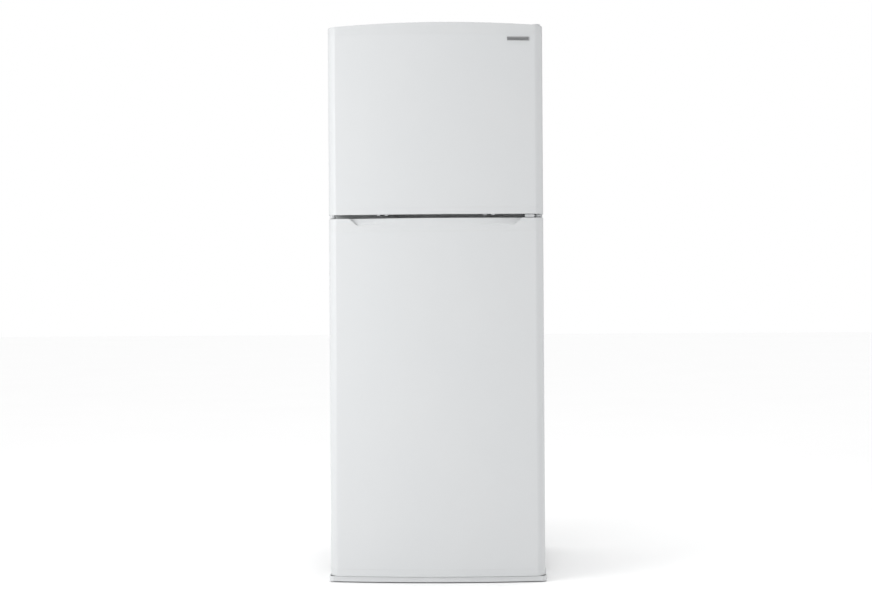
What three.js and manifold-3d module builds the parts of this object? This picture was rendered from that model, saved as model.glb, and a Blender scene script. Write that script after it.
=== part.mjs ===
// Top freezer refrigerator with bowed doors, as an assembly of separate solids.
// Millimetres. +Z is up, the doors face -Y, and +X is to the right as seen from the front.
// The origin is on the floor, under the middle of the bounding box.
import * as THREE from "three";
import { mergeVertices } from "three/addons/utils/BufferGeometryUtils.js";
import Module from "manifold-3d";

const wasm = await Module();
wasm.setup();

// ---------------------------------------------------------------- driving dimensions
const HALF_WIDTH = 300; // cabinet, side panel to centre
const CABINET_FRONT = -240; // plane that the door gaskets close on
const CABINET_BACK = 312; // outer face of the back panel
const CABINET_TOP = 1548;
const BASE_Z = 30; // underside of the base plate
const REAR_LIMIT = 320; // rearmost face, on the machine room cover
const SHEET = 1; // outer steel
const BASE_SHEET = 1.5; // base plate and hinge rail steel
const LINER = 2; // vacuum formed plastic
const GAP = 0.3; // between fitted pieces

const FLANGE_HALF = 272; // inner edge of the steel front flange
const FREEZER_HALF = 240; // freezer compartment, inner half width
const FRIDGE_HALF = 248; // fresh food compartment, inner half width
const FREEZER_Z = [1055, 1490]; // freezer floor and ceiling
const FRIDGE_Z = [85, 991]; // fresh food floor and ceiling
const LINER_BACK = 257; // inner face of both rear walls
const RAIL_Z = [994, 1052]; // steel rail between the two openings

const DOOR_HALF = 301;
const DOOR_APEX = -320; // foremost point of the bowed front
const DOOR_BACK = -250.4; // plane of the door liners, towards the cabinet
const BOW_RADIUS = 2265;
const CORNER_RADIUS = 32.8; // rolled vertical edge of a door
const CORNER_CENTRE = [DOOR_HALF - CORNER_RADIUS, -272];
const CORNER_SWEEP = 70.8; // degrees of the rolled edge, up to the crease beside the bow
const DOOR_SHEET = 1.2;
const FREEZER_DOOR_Z = [1027, 1552];
const FRIDGE_DOOR_Z = [18, 1016];
const APRON_TOP = 17.2; // upper edge of the base cover, just clear of the lower door
const CROWN = 9; // rise of the arched top edge at its middle
const TOP_CAP = 24;
const BOTTOM_CAP = 20;
const GRIP_CAP = 37; // height of the fresh food door's top cap, which holds the grip
const DYKE_FRONT = -208; // how far the raised rim of a door liner reaches into the cabinet
const DYKE_WIDTH = 20;
const FREEZER_DYKE = { half: 230, z: [1065, 1480] };
const FRIDGE_DYKE = { half: 238, z: [95, 981] };
const GASKET = { outer: 286, width: 16, back: CABINET_FRONT - 0.4 };

const HINGE = { x: 283, y: -280, pin: 5, bore: 5.7 };
const SHELF_FRONT = -114;

const rad = THREE.MathUtils.degToRad;

// ---------------------------------------------------------------- solids
function toSolid(geometry) {
  const loose = geometry.index ? geometry.toNonIndexed() : geometry;
  const bare = new THREE.BufferGeometry();
  bare.setAttribute("position", loose.getAttribute("position"));
  const merged = mergeVertices(bare, 1e-4);
  return new wasm.Manifold(
    new wasm.Mesh({
      numProp: 3,
      vertProperties: merged.getAttribute("position").array,
      triVerts: new Uint32Array(merged.index.array),
    }),
  );
}

function toGeometry(solid) {
  const mesh = solid.getMesh();
  const geometry = new THREE.BufferGeometry();
  geometry.setAttribute("position", new THREE.BufferAttribute(mesh.vertProperties, 3));
  geometry.setIndex(new THREE.BufferAttribute(mesh.triVerts, 1));
  geometry.computeVertexNormals();
  return geometry;
}

function box([x0, x1], [y0, y1], [z0, z1]) {
  const geometry = new THREE.BoxGeometry(x1 - x0, y1 - y0, z1 - z0);
  return toSolid(geometry.translate((x0 + x1) / 2, (y0 + y1) / 2, (z0 + z1) / 2));
}

function extruded(points, depth) {
  const shape = new THREE.Shape(points.map(([a, b]) => new THREE.Vector2(a, b)));
  return new THREE.ExtrudeGeometry(shape, { depth, bevelEnabled: false });
}

// An outline in X and Y, standing from z0 to z1.
function prismZ(points, [z0, z1]) {
  return toSolid(extruded(points, z1 - z0).translate(0, 0, z0));
}

// An outline in Y and Z, running from x0 to x1.
function prismX(points, [x0, x1]) {
  const turn = new THREE.Matrix4().set(0, 0, 1, x0, 1, 0, 0, 0, 0, 1, 0, 0, 0, 0, 0, 1);
  return toSolid(extruded(points, x1 - x0).applyMatrix4(turn));
}

// An outline in X and Z, running from y0 to y1.
function prismY(points, [y0, y1]) {
  const turn = new THREE.Matrix4().set(1, 0, 0, 0, 0, 0, -1, y1, 0, 1, 0, 0, 0, 0, 0, 1);
  return toSolid(extruded(points, y1 - y0).applyMatrix4(turn));
}

// A turned piece: profile of [radius, height], about the Z axis.
function turned(profile, segments = 24) {
  const points = profile.map(([r, h]) => new THREE.Vector2(r, h));
  return toSolid(new THREE.LatheGeometry(points, segments).rotateX(Math.PI / 2));
}

const rodZ = (radius, [z0, z1], [x, y], segments = 20) =>
  turned([[0, z0], [radius, z0], [radius, z1], [0, z1]], segments).translate([x, y, 0]);

const rodY = (radius, [y0, y1], [x, z], segments = 20) =>
  turned([[0, -y1], [radius, -y1], [radius, -y0], [0, -y0]], segments)
    .rotate([90, 0, 0])
    .translate([x, 0, z]);

const rodX = (radius, [x0, x1], [y, z], segments = 20) =>
  turned([[0, x0], [radius, x0], [radius, x1], [0, x1]], segments)
    .rotate([0, 90, 0])
    .translate([0, y, z]);

const joined = (...solids) => solids.flat().reduce((all, next) => all.add(next));
const cutBy = (solid, ...tools) => tools.flat().reduce((left, tool) => left.subtract(tool), solid);
const mirrored = (solid) => solid.mirror([1, 0, 0]);
const grown = ([low, high], by) => [low - by, high + by];
const evenly = (low, high, count) =>
  Array.from({ length: count }, (_, i) => low + ((high - low) * i) / (count - 1));

// A rectangular ring in X and Z of the given width, between two Y planes.
function ring(half, z, width, y) {
  return cutBy(
    box([-half, half], y, z),
    box([-half + width, half - width], grown(y, 1), grown(z, -width)),
  );
}

// ---------------------------------------------------------------- finishes
function finish(color, roughness, metalness = 0, opacity = 1) {
  return new THREE.MeshStandardMaterial({
    color,
    roughness,
    metalness,
    opacity,
    transparent: opacity < 1,
  });
}

const whitePaint = finish(0xe6e8ea, 0.35, 0.1);
const whitePlastic = finish(0xeceded, 0.4);
const linerPlastic = finish(0xf2f3f2, 0.3);
const clearPlastic = finish(0xdfe8ea, 0.1, 0, 0.4);
const blueClearPlastic = finish(0xc9d9e2, 0.15, 0, 0.45);
const glass = finish(0xd6e4df, 0.05, 0, 0.35);
const galvanized = finish(0xb5b8ba, 0.45, 0.8);
const foamYellow = finish(0xe3d9b0, 0.95);
const gasketRubber = finish(0xdadbdb, 0.7);
const blackRubber = finish(0x1c1c1d, 0.8);
const blackPaint = finish(0x17181a, 0.5, 0.2);
const aluminium = finish(0xc3c6c8, 0.4, 0.9);
const greyPlastic = finish(0x9a9da0, 0.55);
const badgeMetal = finish(0x6f7376, 0.3, 0.8);

function piece(name, solid, material, place = [0, 0, 0]) {
  const mesh = new THREE.Mesh(toGeometry(solid), material);
  mesh.name = name;
  mesh.position.set(...place);
  return mesh;
}

function assembly(...pieces) {
  const group = new THREE.Group();
  group.add(...pieces.flat());
  return group;
}

// ---------------------------------------------------------------- cabinet
// Side of the cabinet space that the machine room takes, as a Y and Z outline.
const MACHINE_WALL = [
  [105, BASE_Z + BASE_SHEET - 0.5],
  [140, 236],
  [CABINET_BACK - SHEET, 236],
];

function outerWrap() {
  const wrapZ = [26, CABINET_TOP];
  const shell = cutBy(
    box([-HALF_WIDTH, HALF_WIDTH], [CABINET_FRONT, CABINET_BACK - SHEET], wrapZ),
    box(
      [SHEET - HALF_WIDTH, HALF_WIDTH - SHEET],
      [CABINET_FRONT - 1, CABINET_BACK],
      [wrapZ[0] - 1, CABINET_TOP - SHEET],
    ),
  );
  const flangeY = [CABINET_FRONT, CABINET_FRONT + SHEET];
  const flange = cutBy(
    box([-HALF_WIDTH, HALF_WIDTH], flangeY, wrapZ),
    box([-FLANGE_HALF, FLANGE_HALF], grown(flangeY, 1), [wrapZ[0] - 1, 1514]),
  );
  return shell.add(flange);
}

function backPanel() {
  const sheetY = [CABINET_BACK - SHEET, CABINET_BACK];
  const rib = (x) =>
    prismZ(
      [[x - 20, 311.5], [x + 20, 311.5], [x + 14, 316], [x - 14, 316]],
      [300, 1480],
    );
  return joined(
    box([-HALF_WIDTH, HALF_WIDTH], sheetY, [237, CABINET_TOP]),
    evenly(-210, 210, 5).map(rib),
  );
}

const FOOT = { x: 262, y: -208 };
const ROLLER = { x: 262, y: 270, z: 13, radius: 13, axle: 4 };

function bottomPlate() {
  const sheetZ = [BASE_Z, BASE_Z + BASE_SHEET];
  const half = HALF_WIDTH - SHEET - GAP;
  const floor = box([-half, half], [CABINET_FRONT + SHEET + GAP, CABINET_BACK - SHEET], sheetZ);
  const lip = box(
    [GAP - FLANGE_HALF, FLANGE_HALF - GAP],
    [CABINET_FRONT, CABINET_FRONT + BASE_SHEET],
    [BASE_Z, 62],
  );
  const [foot, knee, rear] = MACHINE_WALL;
  const wall = prismX(
    [foot, knee, rear, [rear[0], rear[1] - 1.5], [knee[0] + 1.2, knee[1] - 1.5], [foot[0] + 1.6, foot[1]]],
    [-half, half],
  );
  const ear = (x) => box([x - 1, x + 1], [ROLLER.y - 10, ROLLER.y + 10], [5, BASE_Z + 1]);
  const bracket = joined(
    ear(ROLLER.x - 11),
    ear(ROLLER.x + 11),
    rodX(ROLLER.axle, [ROLLER.x - 12, ROLLER.x + 12], [ROLLER.y, ROLLER.z], 16),
  );
  const footHole = rodZ(6, [BASE_Z - 2, BASE_Z + 4], [FOOT.x, FOOT.y], 16);
  return cutBy(
    joined(floor, lip, wall, bracket, mirrored(bracket)),
    footHole,
    mirrored(footHole),
  );
}

// The fresh food liner's inner outline in Y and Z: its floor steps up over the machine room.
const FRIDGE_OUTLINE = [
  [CABINET_FRONT - 1, FRIDGE_Z[0]],
  [50, FRIDGE_Z[0]],
  [95, 280],
  [LINER_BACK, 280],
  [LINER_BACK, FRIDGE_Z[1]],
  [CABINET_FRONT - 1, FRIDGE_Z[1]],
];

// The same outline moved outwards by a wall.
function fridgeOutline(wall) {
  const slope = wall * 1.25;
  return [
    [CABINET_FRONT, FRIDGE_Z[0] - wall],
    [50 + slope * 0.8, FRIDGE_Z[0] - wall],
    [95 + slope * 0.8, 280 - wall],
    [LINER_BACK + wall, 280 - wall],
    [LINER_BACK + wall, FRIDGE_Z[1] + wall],
    [CABINET_FRONT, FRIDGE_Z[1] + wall],
  ];
}

function cabinetFoam() {
  const side = HALF_WIDTH - SHEET - GAP;
  const front = CABINET_FRONT + LINER + GAP;
  const back = CABINET_BACK - SHEET - GAP;
  const [foot, knee] = MACHINE_WALL;
  const block = prismX(
    [
      [front, BASE_Z + BASE_SHEET + GAP],
      [foot[0] - GAP, BASE_Z + BASE_SHEET + GAP],
      [knee[0] - GAP, knee[1] + GAP],
      [back, knee[1] + GAP],
      [back, CABINET_TOP - SHEET - GAP],
      [front, CABINET_TOP - SHEET - GAP],
    ],
    [-side, side],
  );
  const wall = LINER + GAP;
  const freezerSpace = box(
    grown([-FREEZER_HALF, FREEZER_HALF], wall),
    [CABINET_FRONT, LINER_BACK + wall],
    grown(FREEZER_Z, wall),
  );
  const fridgeSpace = prismX(fridgeOutline(wall), grown([-FRIDGE_HALF, FRIDGE_HALF], wall));
  const railSpace = box(
    [-FLANGE_HALF, FLANGE_HALF],
    [CABINET_FRONT, CABINET_FRONT + 12],
    grown(RAIL_Z, 0.2),
  );
  const footSpace = rodZ(9, [BASE_Z, 50], [FOOT.x, FOOT.y], 12);
  return cutBy(block, freezerSpace, fridgeSpace, railSpace, footSpace, mirrored(footSpace));
}

function linerFlange(half, opening, z) {
  const y = [CABINET_FRONT, CABINET_FRONT + LINER];
  return cutBy(
    box([GAP - FLANGE_HALF, FLANGE_HALF - GAP], y, z),
    box([-half, half], grown(y, 1), opening),
  );
}

// A pair of moulded ledges along both side walls, with their top at the given height.
function ledges(half, reach, y, top) {
  const ledge = box([half - reach, half + 0.5], y, [top - 6, top]);
  return joined(ledge, mirrored(ledge));
}

const FREEZER_SHELF_Z = 1262;
const SWITCH = { radius: 5, bore: 5.5, tip: DYKE_FRONT + 1.5 };
const FREEZER_SWITCH = { x: 165, z: 1471 };

function freezerLiner() {
  const shell = cutBy(
    joined(
      box(
        grown([-FREEZER_HALF, FREEZER_HALF], LINER),
        [CABINET_FRONT, LINER_BACK + LINER],
        grown(FREEZER_Z, LINER),
      ),
      box([GAP - FLANGE_HALF, FLANGE_HALF - GAP], [CABINET_FRONT, CABINET_FRONT + LINER], [1052.5, 1513.5]),
    ),
    box([-FREEZER_HALF, FREEZER_HALF], [CABINET_FRONT - 1, LINER_BACK], FREEZER_Z),
  );
  const { x, z } = FREEZER_SWITCH;
  const switchBoss = box([x - 14, x + 14], [-186, -140], [z - 10, FREEZER_Z[1] + 0.5]);
  const bore = rodY(SWITCH.bore, [-190, -148], [x, z], 16);
  const shelfLedges = ledges(FREEZER_HALF, 7, [-104, 168], FREEZER_SHELF_Z - GAP);
  return cutBy(joined(shell, shelfLedges, switchBoss), bore);
}

const SHELF_1_Z = 800;
const SHELF_2_Z = 500;
const CHILLER_Z = 690;
const CRISPER_LID_Z = 290;

function fridgeLiner() {
  const outer = joined(
    prismX(fridgeOutline(LINER), grown([-FRIDGE_HALF, FRIDGE_HALF], LINER)),
    box([GAP - FLANGE_HALF, FLANGE_HALF - GAP], [CABINET_FRONT, CABINET_FRONT + LINER], [62.3, 993.7]),
  );
  const shell = outer.subtract(prismX(FRIDGE_OUTLINE, [-FRIDGE_HALF, FRIDGE_HALF]));
  const ledgeTops = [SHELF_1_Z, SHELF_2_Z, CHILLER_Z, CRISPER_LID_Z].map((z) => z - GAP);
  return joined(
    shell,
    ledgeTops.map((top) => ledges(FRIDGE_HALF, 10, [-104, 225], top)),
  );
}

function centerRail() {
  const half = FLANGE_HALF - GAP;
  const z = RAIL_Z;
  return prismX(
    [
      [CABINET_FRONT, z[0]],
      [CABINET_FRONT + 10, z[0]],
      [CABINET_FRONT + 10, z[0] + BASE_SHEET],
      [CABINET_FRONT + BASE_SHEET, z[0] + BASE_SHEET],
      [CABINET_FRONT + BASE_SHEET, z[1] - BASE_SHEET],
      [CABINET_FRONT + 10, z[1] - BASE_SHEET],
      [CABINET_FRONT + 10, z[1]],
      [CABINET_FRONT, z[1]],
    ],
    [-half, half],
  );
}

// A plinth strip below the cabinet, with short wings along both sides.
// The cover under the doors: a hollow plinth, a tray below the hinge, and an apron that follows the
// bow just behind the face of the door.
function kickCover() {
  const half = 304;
  const z = [3, 26];
  const plinth = cutBy(
    box([-half, half], [CABINET_FRONT + 1, -120], z),
    box([-half + 6, half - 6], [CABINET_FRONT + 7, -119], grown(z, 1)),
  );
  const apronOutline = (inset) => {
    const side = half - inset;
    const corner = [18 - inset, -284]; // radius of the rounded corner and the line it ends on
    const arc = evenly(0, 72, 7).map((a) => [
      side - corner[0] + corner[0] * Math.cos(rad(a)),
      corner[1] - corner[0] * Math.sin(rad(a)),
    ]);
    const crease = arc.at(-1)[0] - 6;
    const bow = evenly(crease, -crease, 25).map((x) => [x, bowY(x) + 2 + inset]);
    const left = arc.map(([x, y]) => [-x, y]).reverse();
    return [[side, CABINET_FRONT + 4], ...arc, ...bow, ...left, [-side, CABINET_FRONT + 4]];
  };
  const apron = cutBy(prismZ(apronOutline(0), [3, APRON_TOP]), prismZ(apronOutline(2.5), [5.5, APRON_TOP + 1]));
  return joined(plinth, apron);
}

// ---------------------------------------------------------------- doors
function cornerPoints(inset, steps = 12) {
  const radius = CORNER_RADIUS - inset;
  return evenly(0, CORNER_SWEEP, steps + 1).map((a) => [
    CORNER_CENTRE[0] + radius * Math.cos(rad(a)),
    CORNER_CENTRE[1] - radius * Math.sin(rad(a)),
  ]);
}

const bowY = (x, inset = 0) =>
  DOOR_APEX + BOW_RADIUS - Math.sqrt((BOW_RADIUS - inset) ** 2 - x * x);

// The front of a door seen from above, from its right side round to its left side.
function doorFront(inset, bowSteps = 32) {
  const right = cornerPoints(inset);
  const crease = right.at(-1)[0];
  const bow = evenly(crease, -crease, bowSteps + 1)
    .slice(1, -1)
    .map((x) => [x, bowY(x, inset)]);
  const left = right.map(([x, y]) => [-x, y]).reverse();
  return [...right, ...bow, ...left];
}

const DOOR_SHELL_BACK = DOOR_BACK - 2.6;

function doorBody(inset, z) {
  const half = DOOR_HALF - inset;
  const front = doorFront(inset);
  return prismZ([[half, DOOR_SHELL_BACK], ...front, [-half, DOOR_SHELL_BACK]], z);
}

function doorSkin(z) {
  const outer = doorFront(0);
  const inner = doorFront(DOOR_SHEET).reverse();
  const inside = DOOR_HALF - DOOR_SHEET;
  return prismZ(
    [
      [DOOR_HALF, DOOR_SHELL_BACK],
      ...outer,
      [-DOOR_HALF, DOOR_SHELL_BACK],
      [-inside, DOOR_SHELL_BACK],
      ...inner,
      [inside, DOOR_SHELL_BACK],
    ],
    z,
  );
}

// The hollow of a door liner's rim, which the foam fills.
function dykeFill(dyke, inset, front) {
  return ring(
    dyke.half - inset,
    grown(dyke.z, -inset),
    DYKE_WIDTH - 2 * inset,
    [DOOR_BACK - 3, front],
  );
}

function doorFoam(z, dyke) {
  return doorBody(DOOR_SHEET + GAP, grown(z, -GAP)).add(
    dykeFill(dyke, LINER + GAP, DYKE_FRONT - LINER - GAP),
  );
}

// A formed sheet with a raised rim, and a pair of lugs for each bin.
function doorLiner(z, dyke, lugs) {
  const lugHalf = dyke.half - DYKE_WIDTH;
  const sheet = box([-296, 296], [DOOR_BACK - 2.3, DOOR_BACK], grown(z, -4));
  const rim = ring(dyke.half, dyke.z, DYKE_WIDTH, [DOOR_BACK - 1, DYKE_FRONT]);
  const lug = (top) => box([lugHalf - 5.5, lugHalf + 0.5], [-238, -212], [top - 9, top]);
  return cutBy(
    joined(sheet, rim, lugs.map((top) => [lug(top), mirrored(lug(top))]).flat()),
    dykeFill(dyke, LINER, DYKE_FRONT - LINER),
  );
}

function gasket(z) {
  const y = [DOOR_BACK, GASKET.back];
  const outerZ = z;
  return ring(GASKET.outer, outerZ, GASKET.width, y);
}

// The arched upper edge: everything below a shallow parabola over the door's width.
function belowCrown([low, sideTop]) {
  const arc = evenly(DOOR_HALF, -DOOR_HALF, 21).map((x) => [
    x,
    sideTop + CROWN * (1 - (x / DOOR_HALF) ** 2),
  ]);
  return prismY([[-DOOR_HALF - 1, low], [DOOR_HALF + 1, low], ...arc], [DOOR_APEX - 5, -240]);
}

const hingeBore = (z) => rodZ(HINGE.bore, z, [HINGE.x, HINGE.y], 20);

function freezerTopCap() {
  const [low, top] = [FREEZER_DOOR_Z[1] - TOP_CAP, FREEZER_DOOR_Z[1]];
  const cap = doorBody(0, [low, top + CROWN + 1]).intersect(belowCrown([low - 1, top]));
  return cap.subtract(hingeBore([top - 18, top + CROWN]));
}

const GRIP_HALF = 239; // half width of the grip at its upper edge
const GRIP_DROP = 22; // height of the scoop in the face of the fresh food door
const GRIP_REAR = -263;
const SCOOP_HALF = [217, 242]; // half widths of the scoop along its lower edge and at the top
const SCOOP_RADIUS = 1200; // tighter than the bow, so the scoop fades out at the middle

// Under the freezer door: a finger groove along the bottom edge, with two pairs of stiffening ribs,
// and the plug of the hinge hole that this hand of door doesn't use.
function freezerBottomCap() {
  const z = [FREEZER_DOOR_Z[0], FREEZER_DOOR_Z[0] + BOTTOM_CAP];
  const groove = prismX(
    [
      [-296, z[0] - 1],
      [-292, z[0] + 12],
      [-286, z[0] + 15],
      [GRIP_REAR - 3, z[0] + 15],
      [GRIP_REAR, z[0] - 1],
    ],
    [-GRIP_HALF, GRIP_HALF],
  );
  const rib = (x) => box([x - 4.5, x + 4.5], [-300, GRIP_REAR + 2], [z[0] - 3, z[0] + 16]);
  const ribs = [-160, -138, 138, 160].map(rib);
  const plug = rodZ(8.5, [FRIDGE_DOOR_Z[1] + 1.6, z[0] + 2], [-290, -280]);
  const body = cutBy(doorBody(0, z), groove, hingeBore([z[0] - 1, z[0] + 12.5]));
  return joined(body, ribs, plug);
}

// A closed body between two outlines with the same number of points, one above the other.
function lofted(low, high, [z0, z1]) {
  const n = low.length;
  const points = [...low.map(([x, y]) => [x, y, z0]), ...high.map(([x, y]) => [x, y, z1])];
  const cap = THREE.ShapeUtils.triangulateShape(low.map(([x, y]) => new THREE.Vector2(x, y)), []);
  const sides = evenly(0, n - 1, n).flatMap((i) => {
    const j = (i + 1) % n;
    return [[i, j, n + j], [i, n + j, n + i]];
  });
  const faces = [...cap.map(([a, b, c]) => [c, b, a]), ...cap.map((f) => f.map((v) => v + n)), ...sides];
  const geometry = new THREE.BufferGeometry();
  geometry.setAttribute("position", new THREE.Float32BufferAttribute(points.flat(), 3));
  geometry.setIndex(faces.flat());
  return toSolid(geometry);
}

// What the scoop takes out of the face. Its floor starts at the face along its lower edge, curves
// in more tightly than the bow towards the top, and fades out at the middle of the door.
function scoopTool(top) {
  const outline = (half, radius, ahead) => {
    const floor = evenly(half, -half, 33).map((x) => [x, DOOR_APEX - ahead + (x * x) / (2 * radius)]);
    return [[-half, DOOR_APEX - 8], [half, DOOR_APEX - 8], ...floor];
  };
  const [bottom, middle, rim] = [
    outline(SCOOP_HALF[0], BOW_RADIUS * 0.98, 0.25),
    outline((2 * SCOOP_HALF[0] + SCOOP_HALF[1]) / 3, SCOOP_RADIUS * 1.12, 0.4),
    outline(SCOOP_HALF[1], SCOOP_RADIUS, 0.6),
  ];
  const bend = top - GRIP_DROP + GRIP_DROP / 3;
  return lofted(bottom, middle, [top - GRIP_DROP, bend]).add(lofted(middle, rim, [bend, top + 1]));
}

// The top of the fresh food door: a scoop in its face, then a finger groove behind its crest.
function gripCap() {
  const [low, top] = [FRIDGE_DOOR_Z[1] - GRIP_CAP, FRIDGE_DOOR_Z[1]];
  const groove = prismX(
    [
      [-291, top + 5],
      [-291, top - 3],
      [-288, top - 22],
      [-283, top - 27],
      [GRIP_REAR - 6, top - 28],
      [GRIP_REAR - 1, top - 24],
      [GRIP_REAR, top + 5],
    ],
    [-GRIP_HALF, GRIP_HALF],
  );
  const body = doorBody(0, [low, top]);
  return cutBy(body, scoopTool(top), groove, hingeBore([top - 15, top + 1]));
}

function fridgeBottomCap() {
  const z = [FRIDGE_DOOR_Z[0], FRIDGE_DOOR_Z[0] + BOTTOM_CAP];
  return doorBody(0, z).subtract(hingeBore([z[0] - 1, z[0] + 13]));
}

// A plain name plate that follows the bow.
function badgePlate() {
  const xs = evenly(264, 202, 7);
  const outer = xs.map((x) => [x, bowY(x) - 1.8]);
  const inner = xs.map((x) => [x, bowY(x) - GAP]).reverse();
  return prismZ([...outer, ...inner], [1509, 1519]);
}

// An open bin: outline in Y and Z, hollowed from above, with a hook on each end wall.
function doorBin({ half, depth, height, lean, hookZ }) {
  const wall = 2.5;
  const outer = prismX([[0, 0], [depth - lean, 0], [depth, height], [0, height]], [-half, half]);
  const inner = prismX(
    [
      [wall, wall],
      [depth - lean - wall, wall],
      [depth - wall, height + 1],
      [wall, height + 1],
    ],
    [-half + wall, half - wall],
  );
  const hook = box([half - 0.5, half + 4], [8, 38], [hookZ, hookZ + 8]);
  return joined(cutBy(outer, inner), hook, mirrored(hook));
}

const BIN_BACK = -249; // rear wall of every door bin, in Y
const FREEZER_BINS = [
  { name: "freezer_door_bin_upper", z: 1288, height: 62 },
  { name: "freezer_door_bin_lower", z: 1092, height: 70 },
];
const HOOK_Z = 32;
const freezerBin = ({ height }) =>
  doorBin({ half: 204, depth: 84, height, lean: 5, hookZ: HOOK_Z });

const DAIRY_BIN = { name: "dairy_bin", z: 780, height: 62, depth: 86 };
const FRIDGE_BINS = [
  { name: "fridge_door_bin_middle", z: 560, height: 78 },
  { name: "fridge_door_bin_bottle", z: 125, height: 118 },
];
const fridgeBin = ({ height }) =>
  doorBin({ half: 212, depth: 99, height, lean: 6, hookZ: HOOK_Z });

const LID_PIVOT = { y: 13, z: 76, pin: 3 }; // from the dairy bin's lower rear edge

function dairyBin() {
  const { height, depth } = DAIRY_BIN;
  const bin = doorBin({ half: 212, depth, height, lean: 5, hookZ: HOOK_Z });
  const ear = cutBy(
    box([209.5, 212], [0, 26], [height - 1, LID_PIVOT.z + 8]),
    rodX(LID_PIVOT.pin + 0.5, [205, 215], [LID_PIVOT.y, LID_PIVOT.z], 16),
  );
  return joined(bin, ear, mirrored(ear));
}

// The lid starts at its own pivot line and falls slightly towards the front lip of the bin.
function dairyLid() {
  const half = 208.5;
  const plate = prismX(
    [
      [-4, -3],
      [4, -4],
      [73.6, -13],
      [74.3, -20],
      [76.5, -20],
      [75.5, -11],
      [66, -6],
      [2, 4],
      [-4, 3],
    ],
    [-half, half],
  );
  return joined(plate, rodX(LID_PIVOT.pin, [-211.5, 211.5], [0, 0], 12));
}

// ---------------------------------------------------------------- hinges
// Plate with a round nose about the pin, seen from above.
function hingeLeaf([x0, x1], rear) {
  const nose = evenly(0, -180, 9).map((a) => [
    HINGE.x + 12 * Math.cos(rad(a)),
    HINGE.y + 12 * Math.sin(rad(a)),
  ]);
  return [...nose, [x0, HINGE.y + 14], [x0, rear], [x1, rear], [x1, HINGE.y + 14]];
}

function topHinge() {
  const leafZ = [1554.6, 1557];
  const half = [262, 296];
  const front = prismZ(hingeLeaf(half, -238), leafZ);
  const crank = prismX(
    [
      [-240, 1554.6],
      [-238, 1557],
      [-234, 1557],
      [-222, CABINET_TOP + 3],
      [-150, CABINET_TOP + 3],
      [-150, CABINET_TOP],
      [-224, CABINET_TOP],
      [-236, 1554.6],
    ],
    half,
  );
  const pin = rodZ(HINGE.pin, [FREEZER_DOOR_Z[1] - 16, 1556], [HINGE.x, HINGE.y]);
  return joined(front, crank, pin);
}

function topHingeCover() {
  const outer = prismX(
    [[-236, CABINET_TOP], [-236, 1560.5], [-140, 1559], [-132, CABINET_TOP]],
    [246, 299],
  );
  const inner = prismX(
    [[-237, CABINET_TOP - 1], [-237, 1559.3], [-142, 1557.5], [-135, CABINET_TOP - 1]],
    [248, 297],
  );
  return cutBy(outer, inner);
}

const MIDDLE_LEAF_Z = [1020, 1023];

function middleHinge() {
  const leaf = prismZ(hingeLeaf([249, 293], CABINET_FRONT), MIDDLE_LEAF_Z);
  const stop = box([249, 275], [-299, -262], [1017.6, 1025.4]); // what both doors' stops meet
  const flange = box([222, 293], [CABINET_FRONT - 3, CABINET_FRONT], [1015, 1031]);
  const pins = rodZ(
    HINGE.pin,
    [FRIDGE_DOOR_Z[1] - 13, FREEZER_DOOR_Z[0] + 11],
    [HINGE.x, HINGE.y],
  );
  return joined(leaf, stop, flange, pins);
}

function bottomHinge() {
  const leaf = prismZ(hingeLeaf([256, 293], CABINET_FRONT), [10, 14]);
  const flange = box([226, 293], [CABINET_FRONT - 3, CABINET_FRONT], [10, 48]);
  const pin = rodZ(HINGE.pin, [12, FRIDGE_DOOR_Z[0] + 11], [HINGE.x, HINGE.y]);
  return joined(leaf, flange, pin);
}

// ---------------------------------------------------------------- freezer compartment
const COVER_Y = [174, 177];
const FAN = { z: 1395, radius: 46 };

function evaporatorCover() {
  const span = [-FREEZER_HALF, FREEZER_HALF];
  const panel = box(span, COVER_Y, FREEZER_Z);
  const edge = box(span, [COVER_Y[1] - 0.5, 196], [1480, 1483]);
  const shroud = cutBy(
    rodY(FAN.radius + 9, [168, 188], [0, FAN.z], 32),
    rodY(FAN.radius + 5, [170.5, 190], [0, FAN.z], 32),
  );
  const grille = evenly(-36, 36, 7).map((dz) => {
    const reach = Math.sqrt((FAN.radius - 2) ** 2 - dz * dz);
    return box([-reach, reach], [160, 172], [FAN.z + dz - 3, FAN.z + dz + 3]);
  });
  const face = rodY(FAN.radius + 5, [COVER_Y[0] - 1, COVER_Y[1] + 1], [0, FAN.z], 32);
  const sideVents = evenly(110, 210, 5).map((x) =>
    box([x - 8, x + 8], grown(COVER_Y, 1), [1440, 1470]),
  );
  const returns = evenly(-200, 200, 9).map((x) =>
    box([x - 17, x + 17], grown(COVER_Y, 1), [1066, 1076]),
  );
  const open = cutBy(panel, face, returns, sideVents, sideVents.map(mirrored));
  return cutBy(joined(open, shroud, edge), grille);
}

function evaporator() {
  const fins = evenly(-205, 205, 18).map((x) => box([x - 0.6, x + 0.6], [202, 250], [1076, 1290]));
  const runs = evenly(1090, 1276, 4).map((z) => box([-218, 218], [222, 230], [z - 4, z + 4]));
  const bends = [
    [1090, 218],
    [1152, -218],
    [1214, 218],
  ].map(([z, x]) => box([x - 4, x + 4], [222, 230], [z - 4, z + 66]));
  const endPlate = box([216, 218], [202, LINER_BACK], [1076, 1290]);
  return joined(fins, runs, bends, endPlate, mirrored(endPlate));
}

function fanMotor() {
  const y = [228, 250];
  const arm = box([-70, 70], [244, 248], [FAN.z - 5, FAN.z + 5]);
  const stand = box([64, 70], [246, LINER_BACK], [FAN.z - 5, FAN.z + 5]);
  return joined(
    rodY(22, y, [0, FAN.z], 20),
    arm,
    stand,
    mirrored(stand),
    rodY(2.5, [200, 229], [0, FAN.z], 12),
  );
}

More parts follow.
